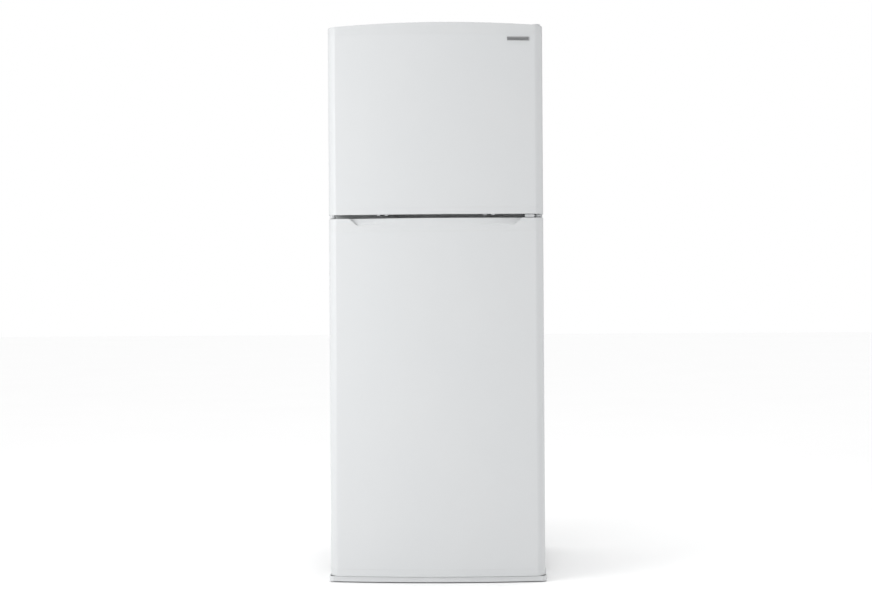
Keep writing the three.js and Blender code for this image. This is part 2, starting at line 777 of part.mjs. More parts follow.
function fanBlade() {
  const hub = rodY(13, [196, 216], [0, 0], 20);
  const blades = evenly(0, 288, 5).map((a) =>
    box([9, FAN.radius], [-1.2, 1.2], [-17, 17])
      .rotate([58, 0, 0])
      .translate([0, 207, 0])
      .rotate([0, a, 0]),
  );
  const tips = rodY(FAN.radius, [196, 218], [0, 0], 40);
  return cutBy(joined(hub, blades).intersect(tips), rodY(3, [198, 217], [0, 0], 12));
}

function freezerShelf() {
  const x = [-238.5, 238.5];
  const plate = box(x, [-110, 168], [FREEZER_SHELF_Z, FREEZER_SHELF_Z + 8]);
  const lip = box(x, [SHELF_FRONT, -106], [FREEZER_SHELF_Z - 6, FREEZER_SHELF_Z + 8]);
  const slots = evenly(-210, 210, 15).map((at) =>
    box([at - 9, at + 9], [-90, 150], [FREEZER_SHELF_Z - 1, FREEZER_SHELF_Z + 9]),
  );
  const tie = box(x, [24, 36], [FREEZER_SHELF_Z, FREEZER_SHELF_Z + 8]);
  return cutBy(plate, slots).add(lip).add(tie);
}

const ICE = { x: [-236, -30], y: [-102, 135], z: [FREEZER_SHELF_Z + 8, 1452] };
const TRAY = { half: 38, depth: 30, length: 218, axis: 1428, pin: 4 };
const TRAY_X = [-184, -82];

function iceTrayFrame() {
  const wall = 3;
  const shell = cutBy(
    box(ICE.x, ICE.y, ICE.z),
    box(grown(ICE.x, -wall), grown(ICE.y, -wall), [ICE.z[0] - 1, ICE.z[1] + 1]),
    box(grown(ICE.x, -wall), [ICE.y[0] - 1, ICE.y[0] + 5], [ICE.z[0] - 1, 1372]),
  );
  const holes = TRAY_X.map((x) =>
    rodY(TRAY.pin + 0.6, [ICE.y[0] - 2, ICE.y[1] + 2], [x, TRAY.axis], 16),
  );
  return cutBy(shell, holes);
}

// A tray of two rows of pockets that turns about the line through its top, with its knob.
function iceTray() {
  const body = prismY(
    [
      [-TRAY.half, 4],
      [TRAY.half, 4],
      [TRAY.half, 0],
      [TRAY.half - 7, 4 - TRAY.depth],
      [7 - TRAY.half, 4 - TRAY.depth],
      [-TRAY.half, 0],
    ],
    [-94, 124],
  );
  const pocket = (x, y) =>
    prismY([[x - 14.5, 5], [x + 14.5, 5], [x + 10, 7 - TRAY.depth], [x - 10, 7 - TRAY.depth]], [y - 14, y + 14]);
  const pockets = evenly(-76, 106, 6).flatMap((y) => [pocket(-17, y), pocket(17, y)]);
  const rim = box([-TRAY.half + 3, TRAY.half - 3], [-91, 121], [-4, 5]);
  const shaft = [rodY(TRAY.pin, [-112, -93], [0, 0], 12), rodY(TRAY.pin, [123, 140], [0, 0], 12)];
  const knob = joined(
    rodY(16, [-118, -108], [0, 0], 20),
    box([-14, 14], [-124, -117], [-3.5, 3.5]),
  );
  return joined(cutBy(body, pockets, rim), shaft, knob);
}

function iceBin() {
  const wall = 2.5;
  const x = grown(ICE.x, -6);
  const y = [-104, 124];
  const z = [ICE.z[0] + GAP, 1362];
  return joined(
    cutBy(box(x, y, z), box(grown(x, -wall), grown(y, -wall), [z[0] + wall, z[1] + 1])),
    box([x[0] + 40, x[1] - 40], [y[0] - 8, y[0] + 1], [z[1] - 8, z[1]]),
  );
}

// ---------------------------------------------------------------- fresh food compartment
function airDuct() {
  const outer = box([-100, 100], [234, LINER_BACK - GAP], [300, 980]);
  const channel = box([-94, 94], [238, LINER_BACK], [310, 970]);
  const outlets = [880, 740, 600, 430].flatMap((z) =>
    [-60, 0, 60].map((x) => box([x - 22, x + 22], [230, 240], [z - 5, z + 5])),
  );
  return cutBy(outer, channel, outlets);
}

const HOUSING = { half: 130, y: [-185, 20], z: [945, FRIDGE_Z[1] - GAP] };
const FRIDGE_SWITCH = { x: -100, z: 968 };
const KNOB = { x: 62, z: 967, radius: 16 };

function controlHousing() {
  const { half, y, z } = HOUSING;
  const body = prismX(
    [
      [y[0], z[0] + 4],
      [y[0] + 4, z[0]],
      [y[1] - 25, z[0]],
      [y[1], z[0] + 20],
      [y[1], z[1]],
      [y[0], z[1]],
    ],
    [-half, half],
  );
  const lens = prismX(
    [[-120, z[0] + 1], [-112, z[0] - 7], [-22, z[0] - 7], [-14, z[0] + 1]],
    [-75, 75],
  );
  const bore = rodY(SWITCH.bore, [y[0] - 1, y[0] + 30], [FRIDGE_SWITCH.x, FRIDGE_SWITCH.z], 16);
  const shaftHole = rodY(4, [y[0] - 1, y[0] + 20], [KNOB.x, KNOB.z], 16);
  return cutBy(body.add(lens), bore, shaftHole);
}

function thermostatKnob() {
  const front = HOUSING.y[0];
  return joined(
    rodY(KNOB.radius, [front - 8, front - 1], [0, 0], 24),
    box([-14, 14], [front - 13, front - 7], [-3, 3]),
    rodY(3.4, [front - 2, front + 16], [0, 0], 12),
  );
}

const switchPlunger = (rear) =>
  joined(
    rodY(SWITCH.radius, [SWITCH.tip, rear], [0, 0], 16),
    rodY(SWITCH.radius - 1.5, [SWITCH.tip - 1, SWITCH.tip + 0.5], [0, 0], 16),
  );

function shelfFrame() {
  const x = [-246, 246];
  const y = [SHELF_FRONT, 228];
  const frame = cutBy(
    box(x, y, [0, 8]),
    box(grown(x, -12), [y[0] + 16, y[1] - 14], [-1, 9]),
    box(grown(x, -2.7), [y[0] + 8.7, y[1] - 2.7], [3.7, 9]),
  );
  const nose = box(x, [y[0], y[0] + 8], [-6, 10]);
  return frame.add(nose);
}

const shelfGlass = () => box([-243, 243], [SHELF_FRONT + 9, 225], [4, 8]);

function crisperLid() {
  const panel = box([-246, 246], [SHELF_FRONT + 6, 230], [0, 6]);
  const nose = box([-246, 246], [SHELF_FRONT, SHELF_FRONT + 7], [-4, 9]);
  return panel.add(nose);
}

const DRAWER_WALL = 3;

// Outline in Y and Z from the front to the sloping rear wall, hollowed from above.
function drawer(half, front, bottomRear, topRear, height) {
  const wall = DRAWER_WALL;
  const outer = prismX(
    [[front, 0], [bottomRear, 0], [topRear, height], [front, height]],
    [-half, half],
  );
  const inner = prismX(
    [
      [front + wall + 1, wall],
      [bottomRear - wall, wall],
      [topRear - wall, height + 1],
      [front + wall + 1, height + 1],
    ],
    [-half + wall, half - wall],
  );
  return cutBy(outer, inner);
}

function crisperDrawer() {
  const front = -104;
  const body = drawer(235, front, 42, 78, 188);
  const pull = box([-90, 90], [front - 6, front + 1], [160, 168]);
  return body.add(pull);
}

function chillerDrawer() {
  const front = -106;
  const body = drawer(244, front, 222, 226, 84);
  const pull = box([-90, 90], [front - 6, front + 1], [64, 72]);
  return body.add(pull);
}

// ---------------------------------------------------------------- machine room
const COMPRESSOR = { x: 120, y: 212 };

function compressor() {
  const pot = turned(
    [
      [0, 46],
      [62, 46],
      [76, 58],
      [78, 120],
      [80, 121],
      [80, 127],
      [77, 128],
      [74, 160],
      [58, 186],
      [30, 197],
      [0, 199],
    ],
    28,
  );
  const plate = box([-105, 105], [-62, 62], [43, 47]);
  const feet = [-92, 92].flatMap((x) =>
    [-48, 48].map((y) => rodZ(10, [BASE_Z + BASE_SHEET, 44], [x, y], 12)),
  );
  const relay = box([-108, -70], [-26, 26], [80, 140]);
  const stubs = [
    rodZ(4, [170, 214], [30, 40], 10),
    rodZ(4, [170, 214], [-25, -45], 10),
  ];
  return joined(pot, plate, feet, relay, stubs);
}

// A flat serpentine of tube standing over the drain pan.
function condenserCoil() {
  const radius = 3.5;
  const xs = [-262, -62];
  const levels = evenly(96, 206, 6);
  const path = new THREE.CurvePath();
  levels.forEach((z, i) => {
    const [from, to] = i % 2 ? [xs[1], xs[0]] : xs;
    path.add(new THREE.LineCurve3(new THREE.Vector3(from, 0, z), new THREE.Vector3(to, 0, z)));
    if (i === levels.length - 1) return;
    const half = (levels[1] - levels[0]) / 2;
    const out = Math.sign(to - from) * half;
    const bend = evenly(-90, 90, 7).map(
      (a) => new THREE.Vector3(to + out * Math.cos(rad(a)), 0, z + half + half * Math.sin(rad(a))),
    );
    bend.slice(1).forEach((point, k) => path.add(new THREE.LineCurve3(bend[k], point)));
  });
  const corners = path.curves.map((line) => line.v1).concat(path.curves.at(-1).v2);
  const links = corners.slice(1).map((to, i) => tubeLink(corners[i], to, radius));
  const hanger = (x) => box([x - 4, x + 4], [-2, 2], [90, 234.5]);
  return joined(links, hanger(-225), hanger(-99)).translate([0, 215, 0]);
}

// A six-sided tube link between two points in one XZ plane, with its ends run on by a third of a radius.
function tubeLink(from, to, radius) {
  const along = to.clone().sub(from);
  const length = along.length() + radius * 0.66;
  const geometry = new THREE.CylinderGeometry(radius, radius, length, 6);
  geometry.rotateZ(Math.atan2(along.z, along.x) - Math.PI / 2);
  geometry.rotateX(Math.PI / 2);
  const middle = from.clone().add(to).multiplyScalar(0.5);
  return toSolid(geometry.translate(middle.x, middle.y, middle.z));
}

function drainPan() {
  const x = [-272, -40];
  const y = [152, 290];
  const z = [BASE_Z + BASE_SHEET, 76];
  return cutBy(box(x, y, z), box(grown(x, -2.5), grown(y, -2.5), [z[0] + 2.5, z[1] + 1]));
}

// The rear cover: a vented sheet with a raised housing over the compressor and the cord inlet.
function machineRoomCover() {
  const sheet = box(
    [-HALF_WIDTH, HALF_WIDTH],
    [CABINET_BACK - SHEET, CABINET_BACK + 0.5],
    [BASE_Z, 236.5],
  );
  const raised = cutBy(
    prismZ([[20, 311.5], [226, 311.5], [218, REAR_LIMIT], [28, REAR_LIMIT]], [56, 216]),
    prismZ([[22, 310], [224, 310], [216, REAR_LIMIT - 1.5], [30, REAR_LIMIT - 1.5]], [58, 214]),
  );
  const window = box([24, 222], [310, 313], [60, 212]);
  const slots = evenly(76, 196, 6).flatMap((z) => [
    box([48, 118], [309, 322], [z - 3, z + 3]),
    box([130, 200], [309, 322], [z - 3, z + 3]),
    box([-250, -140], [309, 322], [z - 3, z + 3]),
    box([-128, -18], [309, 322], [z - 3, z + 3]),
  ]);
  const inlet = cutBy(
    rodY(11, [312, REAR_LIMIT - 1], [262, 70], 16),
    rodY(4, [309, REAR_LIMIT + 1], [262, 70], 12),
  );
  const inletHole = rodY(4, [309, REAR_LIMIT + 1], [262, 70], 12);
  return cutBy(joined(cutBy(sheet, window), raised, inlet), slots, inletHole);
}

// ---------------------------------------------------------------- feet and rollers
const levelingFoot = () =>
  turned(
    [
      [0, 0],
      [17, 0],
      [19, 2],
      [19, 5],
      [12, 10],
      [9, 12],
      [9, 19],
      [5, 20],
      [5, 42],
      [0, 42],
    ],
    20,
  );

function rearRoller() {
  const half = 9;
  const wheel = turned(
    [
      [ROLLER.axle + 0.5, -half],
      [ROLLER.radius - 1.5, -half],
      [ROLLER.radius, 1.5 - half],
      [ROLLER.radius, half - 1.5],
      [ROLLER.radius - 1.5, half],
      [ROLLER.axle + 0.5, half],
      [ROLLER.axle + 0.5, -half],
    ],
    24,
  );
  return wheel.rotate([0, 90, 0]);
}

// ---------------------------------------------------------------- the assembly
const cabinet = assembly(
  piece("outer_wrap", outerWrap(), whitePaint),
  piece("back_panel", backPanel(), galvanized),
  piece("bottom_plate", bottomPlate(), galvanized),
  piece("cabinet_foam", cabinetFoam(), foamYellow),
  piece("freezer_liner", freezerLiner(), linerPlastic),
  piece("fridge_liner", fridgeLiner(), linerPlastic),
  piece("center_rail", centerRail(), whitePaint),
  piece("kick_cover", kickCover(), whitePlastic),
  piece("top_hinge", topHinge(), whitePaint),
  piece("top_hinge_cover", topHingeCover(), whitePlastic),
  piece("middle_hinge", middleHinge(), whitePaint),
  piece("bottom_hinge", bottomHinge(), whitePaint),
);

const freezerFittings = assembly(
  piece("evaporator_cover", evaporatorCover(), linerPlastic),
  piece("evaporator", evaporator(), aluminium),
  piece("fan_motor", fanMotor(), greyPlastic),
  piece("fan_blade", fanBlade(), whitePlastic, [0, 0, FAN.z]),
  piece("freezer_shelf", freezerShelf(), whitePlastic),
  piece("ice_tray_frame", iceTrayFrame(), whitePlastic),
  piece("ice_tray_left", iceTray(), blueClearPlastic, [TRAY_X[0], 0, TRAY.axis]),
  piece("ice_tray_right", iceTray(), blueClearPlastic, [TRAY_X[1], 0, TRAY.axis]),
  piece("ice_bin", iceBin(), clearPlastic),
  piece("freezer_door_switch", switchPlunger(-155), greyPlastic, [
    FREEZER_SWITCH.x,
    0,
    FREEZER_SWITCH.z,
  ]),
);

const fridgeFittings = assembly(
  piece("air_duct", airDuct(), linerPlastic),
  piece("control_housing", controlHousing(), whitePlastic),
  piece("thermostat_knob", thermostatKnob(), greyPlastic, [KNOB.x, 0, KNOB.z]),
  piece("fridge_door_switch", switchPlunger(-163), greyPlastic, [
    FRIDGE_SWITCH.x,
    0,
    FRIDGE_SWITCH.z,
  ]),
  [SHELF_1_Z, SHELF_2_Z].flatMap((z, i) => [
    piece(`shelf_frame_${i + 1}`, shelfFrame(), whitePlastic, [0, 0, z]),
    piece(`shelf_glass_${i + 1}`, shelfGlass(), glass, [0, 0, z]),
  ]),
  piece("crisper_lid", crisperLid(), glass, [0, 0, CRISPER_LID_Z]),
  piece("chiller_drawer", chillerDrawer(), clearPlastic, [0, 0, CHILLER_Z]),
  piece("crisper_drawer", crisperDrawer(), clearPlastic, [0, 0, FRIDGE_Z[0] + GAP]),
);

const machineRoom = assembly(
  piece("compressor", compressor(), blackPaint, [COMPRESSOR.x, COMPRESSOR.y, 0]),
  piece("condenser_coil", condenserCoil(), blackPaint),
  piece("drain_pan", drainPan(), greyPlastic),
  piece("machine_room_cover", machineRoomCover(), galvanized),
);

const feetAndRollers = assembly(
  ["left", "right"].flatMap((side, i) => {
    const sign = i ? 1 : -1;
    const roller = [sign * ROLLER.x, ROLLER.y, ROLLER.z];
    return [
      piece(`front_foot_${side}`, levelingFoot(), greyPlastic, [sign * FOOT.x, FOOT.y, 0]),
      piece(`rear_roller_${side}`, rearRoller(), blackRubber, roller),
    ];
  }),
);

const skinZ = ([low, top], bottomCap, topCap) => [low + bottomCap, top - topCap];
const freezerSkinZ = skinZ(FREEZER_DOOR_Z, BOTTOM_CAP, TOP_CAP);
const fridgeSkinZ = skinZ(FRIDGE_DOOR_Z, BOTTOM_CAP, GRIP_CAP);
const lugTop = ({ z }) => z + HOOK_Z - GAP;

const freezerDoor = assembly(
  piece("freezer_door_skin", doorSkin(freezerSkinZ), whitePaint),
  piece("freezer_door_foam", doorFoam(freezerSkinZ, FREEZER_DYKE), foamYellow),
  piece(
    "freezer_door_liner",
    doorLiner(FREEZER_DOOR_Z, FREEZER_DYKE, FREEZER_BINS.map(lugTop)),
    linerPlastic,
  ),
  piece("freezer_door_gasket", gasket([1034, 1528]), gasketRubber),
  piece("freezer_door_top_cap", freezerTopCap(), whitePlastic),
  piece("freezer_door_bottom_cap", freezerBottomCap(), whitePlastic),
  piece("badge_plate", badgePlate(), badgeMetal),
  FREEZER_BINS.map((bin) => piece(bin.name, freezerBin(bin), clearPlastic, [0, BIN_BACK, bin.z])),
);

const fridgeDoor = assembly(
  piece("fridge_door_skin", doorSkin(fridgeSkinZ), whitePaint),
  piece("fridge_door_foam", doorFoam(fridgeSkinZ, FRIDGE_DYKE), foamYellow),
  piece(
    "fridge_door_liner",
    doorLiner(FRIDGE_DOOR_Z, FRIDGE_DYKE, [DAIRY_BIN, ...FRIDGE_BINS].map(lugTop)),
    linerPlastic,
  ),
  piece("fridge_door_gasket", gasket([50, 1012]), gasketRubber),
  piece("fridge_door_top_cap", gripCap(), whitePlastic),
  piece("fridge_door_bottom_cap", fridgeBottomCap(), whitePlastic),
  piece(DAIRY_BIN.name, dairyBin(), clearPlastic, [0, BIN_BACK, DAIRY_BIN.z]),
  piece("dairy_lid", dairyLid(), clearPlastic, [
    0,
    BIN_BACK + LID_PIVOT.y,
    DAIRY_BIN.z + LID_PIVOT.z,
  ]),
  FRIDGE_BINS.map((bin) => piece(bin.name, fridgeBin(bin), clearPlastic, [0, BIN_BACK, bin.z])),
);

const refrigerator = assembly(
  cabinet,
  freezerFittings,
  fridgeFittings,
  machineRoom,
  feetAndRollers,
  freezerDoor,
  fridgeDoor,
);

export default refrigerator;
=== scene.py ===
import math
from contextlib import contextmanager

import bmesh
import bpy
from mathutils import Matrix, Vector


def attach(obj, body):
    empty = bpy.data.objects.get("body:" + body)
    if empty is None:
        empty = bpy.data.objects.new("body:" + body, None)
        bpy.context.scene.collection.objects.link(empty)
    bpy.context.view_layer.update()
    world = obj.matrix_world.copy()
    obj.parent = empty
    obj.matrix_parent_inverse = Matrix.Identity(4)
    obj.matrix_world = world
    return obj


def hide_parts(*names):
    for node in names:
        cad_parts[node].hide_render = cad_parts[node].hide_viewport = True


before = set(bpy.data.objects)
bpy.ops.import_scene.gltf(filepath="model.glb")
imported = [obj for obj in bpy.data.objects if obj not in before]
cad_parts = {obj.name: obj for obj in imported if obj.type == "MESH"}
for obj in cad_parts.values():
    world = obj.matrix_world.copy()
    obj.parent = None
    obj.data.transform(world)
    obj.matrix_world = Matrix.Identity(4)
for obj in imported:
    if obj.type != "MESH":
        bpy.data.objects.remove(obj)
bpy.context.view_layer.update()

MM = 0.001

# Planes and places that several pieces share, in millimetres.
CROWN_FOOT = 1550  # the arched edge of the freezer door lies above this height
DOOR_SHOULDER = -253.5  # the bowed faces of the doors lie in front of this plane
FREEZER_DOOR_FOOT = 1027
LIP_FRONT = -300.5
LINER_BACK = 257
LINER_FRONT = -237
DOOR_RIM = -208  # how far the rims of the door liners reach into the cabinet
BIN_BACK = -249
BACK_PANEL = 312
KNOB_X, KNOB_Z = 62, 967
HOUSING_FRONT = -185


# ---------------------------------------------------------------- working by hand in code
def deselect_all():
    if bpy.context.object and bpy.context.object.mode != "OBJECT":
        bpy.ops.object.mode_set(mode="OBJECT")
    bpy.ops.object.select_all(action="DESELECT")


def take_up(piece):
    deselect_all()
    piece.select_set(True)
    bpy.context.view_layer.objects.active = piece


def settle(name):
    """Names the new primitive and puts its place and size into its mesh."""
    piece = bpy.context.object
    piece.name = piece.data.name = name
    bpy.ops.object.transform_apply(location=True, rotation=True, scale=True)
    return piece


def block(name, x, y, z):
    """A box between two X, two Y and two Z planes, in millimetres."""
    deselect_all()
    spans = (x, y, z)
    bpy.ops.mesh.primitive_cube_add(
        size=1,
        location=[(low + high) / 2 * MM for low, high in spans],
        scale=[(high - low) * MM for low, high in spans],
    )
    return settle(name)


TURN = {"x": (0, math.pi / 2, 0), "y": (math.pi / 2, 0, 0), "z": (0, 0, 0)}


def rod(name, radius, centre, length, axis="z", sides=32, tip=None):
    """A round bar, or a taper where its far end has another radius."""
    deselect_all()
    bpy.ops.mesh.primitive_cone_add(
        vertices=sides,
        radius1=radius * MM,
        radius2=(radius if tip is None else tip) * MM,
        depth=length * MM,
        location=[v * MM for v in centre],
        rotation=TURN[axis],
    )
    return settle(name)


@contextmanager
def editing(piece, kind="FACE"):
    take_up(piece)
    bpy.ops.object.mode_set(mode="EDIT")
    bpy.ops.mesh.select_mode(type=kind)
    bpy.ops.mesh.select_all(action="DESELECT")
    yield
    bpy.ops.object.mode_set(mode="OBJECT")


def pick(piece, kind, test):
    """Selects, in edit mode, the faces, edges or vertices that pass a test, and counts them."""
    bpy.ops.mesh.select_mode(type={"faces": "FACE", "edges": "EDGE", "verts": "VERT"}[kind])
    bpy.ops.mesh.select_all(action="DESELECT")
    mesh = bmesh.from_edit_mesh(piece.data)
    mesh.normal_update()
    count = 0
    for part in getattr(mesh, kind):
        if test(part):
            part.select_set(True)
            count += 1
    bmesh.update_edit_mesh(piece.data)
    return count


def middle(edge):
    return (edge.verts[0].co + edge.verts[1].co) / 2 / MM


def along(edge, axis):
    step = edge.verts[1].co - edge.verts[0].co
    return abs(step[axis]) > 0.98 * step.length


def facing(face, axis, sign):
    return face.normal[axis] * sign > 0.9


def roll(width, segments=4):
    """Rounds the picked edges."""
    bpy.ops.mesh.bevel(
        offset=width * MM, segments=segments, profile=0.5, affect="EDGES", clamp_overlap=True
    )


def slide(x=0.0, y=0.0, z=0.0):
    bpy.ops.transform.translate(value=(x * MM, y * MM, z * MM))


def pull_out(x=0.0, y=0.0, z=0.0):
    bpy.ops.mesh.extrude_region_move(
        TRANSFORM_OT_translate={"value": (x * MM, y * MM, z * MM)}
    )


def resize(value, centre):
    bpy.ops.transform.resize(value=value, center_override=[v * MM for v in centre])


def apply(piece, kind, **settings):
    """Adds a modifier with these settings and applies it."""
    take_up(piece)
    modifier = piece.modifiers.new(kind.title(), kind)
    for key, value in settings.items():
        setattr(modifier, key, value)
    bpy.ops.object.modifier_apply(modifier=modifier.name)


def thicken(piece, wall):
    """Gives a sheet its wall, grown against the way its faces look."""
    apply(piece, "SOLIDIFY", thickness=wall * MM, offset=-1, use_even_offset=True)


def soften(piece, width, segments=2, angle=30):
    """Breaks every edge sharper than the angle."""
    apply(
        piece,
        "BEVEL",
        width=width * MM,
        segments=segments,
        limit_method="ANGLE",
        angle_limit=math.radians(angle),
        use_clamp_overlap=True,
        miter_outer="MITER_ARC",
    )


def smooth(piece, angle=32):
    take_up(piece)
    bpy.ops.object.shade_smooth_by_angle(angle=math.radians(angle))
    return piece


def join(name, *parts):
    deselect_all()
    for part in parts:
        part.select_set(True)
    bpy.context.view_layer.objects.active = parts[0]
    if len(parts) > 1:
        bpy.ops.object.join()
    whole = bpy.context.object
    whole.name = whole.data.name = name
    return whole


def cut(piece, *tools):
    """Takes tools out of a piece, then clears them away."""
    for tool in tools:
        apply(piece, "BOOLEAN", operation="DIFFERENCE", solver="EXACT", object=tool)
        bpy.data.objects.remove(tool)
    return piece


def copy_of(piece, name, x=0.0, y=0.0, z=0.0):
    """A second piece with its own mesh, moved along."""
    twin = piece.copy()
    twin.data = piece.data.copy()
    twin.name = twin.data.name = name
    bpy.context.collection.objects.link(twin)
    with editing(twin):
        bpy.ops.mesh.select_all(action="SELECT")
        slide(x, y, z)
    return twin


def mirrored(piece, name):
    """The same piece on the other side of the cabinet's middle plane."""
    twin = copy_of(piece, name)
    with editing(twin):
        bpy.ops.mesh.select_all(action="SELECT")
        resize((-1, 1, 1), (0, 0, 0))
        bpy.ops.mesh.normals_make_consistent(inside=False)
    return twin


def from_frame(node, name, whole_faces=True):
    """A copy of a CAD shape as one clean mesh, its flat faces merged where they can be."""
    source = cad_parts[node]
    piece = bpy.data.objects.new(name, source.data.copy())
    piece.data.name = name
    bpy.context.collection.objects.link(piece)
    take_up(piece)
    bpy.ops.mesh.customdata_custom_splitnormals_clear()
    with editing(piece, "VERT"):
        bpy.ops.mesh.select_all(action="SELECT")
        bpy.ops.mesh.remove_doubles(threshold=0.02 * MM)
        if whole_faces:
            bpy.ops.mesh.dissolve_limited(angle_limit=math.radians(0.1))
            pick(piece, "faces", lambda f: len(f.verts) > 4)
            bpy.ops.mesh.quads_convert_to_tris(ngon_method="BEAUTY")
    piece.data.materials.clear()
    return piece


def mount(piece, body, finish, slot, *nodes):
    """Gives a finished piece its coat and body, and hides the CAD nodes it stands for; the slot
    argument is not used.
    """
    piece.data.materials.clear()
    piece.data.materials.append(finish)
    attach(piece, body)
    if nodes:
        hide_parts(*nodes)
    return piece


def true_normals(piece):
    """Large flat faces set the shading, so that they stay flat beside their rounded edges."""
    apply(piece, "WEIGHTED_NORMAL", keep_sharp=True, weight=60)


# ---------------------------------------------------------------- finishes
class Value:
    """A number in a finish that can be used in sums."""

    def __init__(self, finish, socket):
        self.finish, self.socket = finish, socket

    def sum(self, operation, first, second):
        return self.finish.node("ShaderNodeMath", {"operation": operation}, {0: first, 1: second})

    def __add__(self, other):
        return self.sum("ADD", self, other)

    __radd__ = __add__

    def __mul__(self, other):
        return self.sum("MULTIPLY", self, other)

    __rmul__ = __mul__

    def __sub__(self, other):
        return self.sum("SUBTRACT", self, other)

    def __rsub__(self, other):
        return self.sum("SUBTRACT", other, self)


class Finish:
    """A material on the principled shader; what varies follows the object's own space."""

    def __init__(self, name, **constants):
        self.material = bpy.data.materials.new(name)
        self.material.use_nodes = True
        self.tree = self.material.node_tree
        self.shader = self.tree.nodes["Principled BSDF"]
        for key, value in constants.items():
            self.shader.inputs[key.replace("_", " ")].default_value = value

    def join(self, value, socket):
        if isinstance(value, Value):
            self.tree.links.new(value.socket, socket)
        else:
            socket.default_value = value

    def node(self, kind, settings=None, inputs=None, output=0):
        node = self.tree.nodes.new(kind)
        for key, value in (settings or {}).items():
            setattr(node, key, value)
        for key, value in (inputs or {}).items():
            self.join(value, node.inputs[key])
        return Value(self, node.outputs[output])

    def place(self, stretch=(1, 1, 1)):
        """Object coordinates in metres, stretched."""
        spot = self.node("ShaderNodeTexCoord", output=3)
        return self.node("ShaderNodeMapping", {}, {"Vector": spot, "Scale": stretch})

    def noise(self, size, detail=2.0, rough=0.5, stretch=(1, 1, 1)):
        """Noise from 0 to 1 whose lumps are this many millimetres across."""
        inputs = {"Vector": self.place(stretch), "Scale": 1 / (size * MM)}
        inputs.update({"Detail": detail, "Roughness": rough})
        return self.node("ShaderNodeTexNoise", {}, inputs)

    def cells(self, size, output=0):
        """Distance to, or as output 1 a colour for, cells this many millimetres across."""
        inputs = {"Vector": self.place(), "Scale": 1 / (size * MM)}
        return self.node("ShaderNodeTexVoronoi", {}, inputs, output)

    def ramp(self, value, low, high):
        """0 below low, 1 above high, soft between."""
        return self.node(
            "ShaderNodeMapRange",
            {"interpolation_type": "SMOOTHSTEP"},
            {"Value": value, "From Min": low, "From Max": high},
        )

    def mix(self, factor, first, second):
        """From the first colour at 0 to the second at 1."""
        inputs = {"Factor": factor, 6: first, 7: second}
        return self.node("ShaderNodeMix", {"data_type": "RGBA"}, inputs, output=2)

    def set(self, key, value):
        self.join(value, self.shader.inputs[key])
        return self

    def bump(self, height, depth, strength=1.0):
        """Relief of this depth in millimetres."""
        relief = self.node(
            "ShaderNodeBump", {}, {"Height": height, "Distance": depth * MM, "Strength": strength}
        )
        return self.set("Normal", relief)


def rgb(red, green, blue):
    return (red, green, blue, 1.0)


def enamel():
    """Cool white enamel on steel: faint orange peel, slight clouds in tone and gloss."""
    f = Finish("white_enamel", Coat_Weight=0.1, Coat_Roughness=0.3, IOR=1.45)
    clouds = f.noise(240, 3.0)
    f.set("Base Color", f.mix(clouds, rgb(0.668, 0.684, 0.695), rgb(0.688, 0.698, 0.704)))
    f.set("Roughness", 0.42 + f.noise(60, 4.0) * 0.1)
    return f.bump(f.noise(2.2, 1.0), 0.012).material


def moulding(name, low, high, rough=0.42, grain=0.9, depth=0.02):
    """A satin moulding with a fine eroded grain."""
    f = Finish(name, IOR=1.46)
    f.set("Base Color", f.mix(f.noise(90, 3.0), rgb(*low), rgb(*high)))
    f.set("Roughness", rough + f.noise(35, 3.0) * 0.12)
    return f.bump(f.noise(grain, 2.0, 0.6), depth).material


def formed_sheet():
    """Glossy vacuum-formed sheet, a little wavy where it was drawn thin."""
    f = Finish("liner_sheet", Coat_Weight=0.25, Coat_Roughness=0.2, IOR=1.53)
    f.set("Base Color", f.mix(f.noise(120, 2.0), rgb(0.8, 0.81, 0.805), rgb(0.84, 0.845, 0.835)))
    f.set("Roughness", 0.3 + f.noise(18, 3.0) * 0.12)
    return f.bump(f.noise(26, 2.0) + f.noise(1.1, 1.0) * 0.08, 0.12).material


def clear_moulding(name, tint, rough=0.06):
    """See-through moulded plastic with flow marks."""
    f = Finish(name, Transmission_Weight=0.92, IOR=1.49)
    flow = f.noise(40, 3.0, 0.55, (1, 1, 0.35))
    f.set("Base Color", f.mix(flow, rgb(*tint), rgb(*[v * 0.5 + 0.48 for v in tint])))
    f.set("Roughness", rough + flow * 0.08)
    return f.bump(f.noise(14, 1.0), 0.03).material


def shelf_pane():
    """Toughened glass with a green cast and faint roller waves."""
    f = Finish("shelf_pane", Transmission_Weight=0.95, IOR=1.52)
    f.set("Base Color", f.mix(f.noise(70, 2.0), rgb(0.90, 0.965, 0.94), rgb(0.94, 0.98, 0.96)))
    f.set("Roughness", 0.015 + f.noise(30, 3.0) * 0.03)
    return f.bump(f.noise(60, 1.0), 0.02).material


def zinc():
    """Zinc-coated steel with its spangle."""
    f = Finish("zinc_coat", Metallic=0.9)
    spangle = f.node("ShaderNodeSeparateColor", {}, {"Color": f.cells(9, output=1)})
    grain = f.noise(1.5, 2.0)
    tone = spangle * 0.55 + grain * 0.2
    f.set("Base Color", f.mix(tone, rgb(0.5, 0.52, 0.54), rgb(0.68, 0.7, 0.71)))
    f.set("Roughness", 0.32 + spangle * 0.2)
    return f.bump(grain, 0.01).material


def bare_metal(name, low, high, stretch, rough=0.3):
    """Rolled or drawn metal with lines along its length."""
    f = Finish(name, Metallic=1.0)
    lines = f.noise(4, 4.0, 0.6, stretch)
    f.set("Base Color", f.mix(lines, rgb(*low), rgb(*high)))
    f.set("Roughness", rough + lines * 0.18)
    return f.bump(lines, 0.01).material


